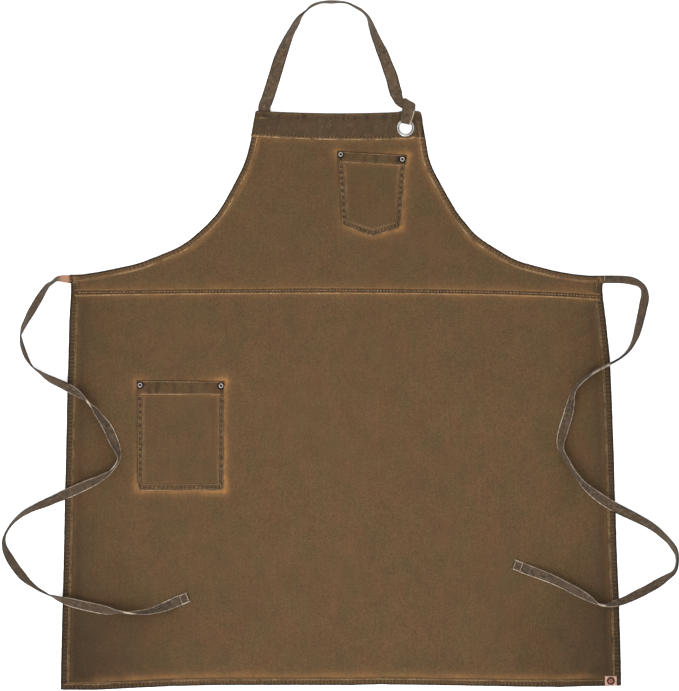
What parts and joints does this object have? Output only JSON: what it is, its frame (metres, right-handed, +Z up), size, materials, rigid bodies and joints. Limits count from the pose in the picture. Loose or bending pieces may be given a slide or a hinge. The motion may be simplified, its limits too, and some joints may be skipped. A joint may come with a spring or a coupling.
{
  "type": "butcher apron",
  "caption": "Bib apron of brown canvas laid flat, with riveted bib and hip patch pockets, a faced bib top with an eyelet, a looped neck strap and two long waist ties.",
  "frame": {"origin": "centre of the cloth's outline, on the flat surface that the apron lies on", "axes": "+Z up off that surface towards the apron's front, +Y from the bottom hem to the neck, +X to the right of someone looking at the front"},
  "size_m": [1.0472, 1.0665, 0.0195],
  "materials": {
    "canvas": "brown waxed cotton canvas, matte, worn orange on the raised seams",
    "band_canvas": "the same canvas, darker and less worn",
    "tape": "grey-brown cotton twill tape with paler edges",
    "thread": "tan sewing thread",
    "steel": "bright nickel plate, lightly tarnished",
    "patch_leather": "pinkish tan leather",
    "copper": "dulled copper"
  },
  "bodies": {
    "skirt": {"skirt_panel": "canvas", "bib_base": "canvas", "waist_seam": "canvas", "waist_thread_upper": "thread", "waist_thread_lower": "thread", "side_thread_left": "thread", "side_thread_right": "thread", "bottom_thread": "thread", "hip_pocket": "canvas", "hip_pocket_thread_outer": "thread", "hip_pocket_thread_inner": "thread", "hip_pocket_thread_mouth": "thread", "hip_pocket_rivet_left": "steel", "hip_pocket_rivet_right": "steel", "hip_pocket_burr_left": "steel", "hip_pocket_burr_right": "steel", "corner_patch": "patch_leather", "corner_patch_stud": "copper", "left_tie_sewn_end": "tape", "right_tie_sewn_end": "tape", "left_tie_bartack": "thread", "right_tie_bartack": "thread"},
    "bib": {"bib_panel": "canvas", "bib_top_band": "band_canvas", "armhole_thread_left": "thread", "armhole_thread_right": "thread", "band_thread_upper": "thread", "band_thread_lower": "thread", "bib_pocket": "canvas", "bib_pocket_thread_outer": "thread", "bib_pocket_thread_inner": "thread", "bib_pocket_thread_mouth": "thread", "bib_pocket_rivet_left": "steel", "bib_pocket_rivet_right": "steel", "bib_pocket_burr_left": "steel", "bib_pocket_burr_right": "steel", "eyelet": "steel", "eyelet_washer": "steel", "neck_strap_loop": "tape", "neck_strap_sewn_end": "tape", "neck_strap_bartack": "thread"},
    "neck_strap": {"neck_strap": "tape", "neck_strap_knot": "tape"},
    "left_tie": {"left_tie": "tape", "left_tie_end_hem": "tape"},
    "right_tie": {"right_tie": "tape", "right_tie_end_hem": "tape"}
  },
  "joints": [
    {"name": "bib_fold", "type": "hinge", "parent": "skirt", "child": "bib", "pos_m": [0, 0.2, 0.0035], "axis": [1, 0, 0], "range_deg": [0, 130]},
    {"name": "neck_strap_flip", "type": "hinge", "parent": "bib", "child": "neck_strap", "pos_m": [0, 0.4486, 0.0061], "axis": [1, 0, 0], "range_deg": [0, 150]},
    {"name": "left_tie_swing", "type": "hinge", "parent": "skirt", "child": "left_tie", "pos_m": [-0.4186, 0.1947, 0.00035], "axis": [-1, 0, 0], "range_deg": [0, 120]},
    {"name": "right_tie_swing", "type": "hinge", "parent": "skirt", "child": "right_tie", "pos_m": [0.4086, 0.1947, 0.00035], "axis": [-1, 0, 0], "range_deg": [0, 120]}
  ]
}
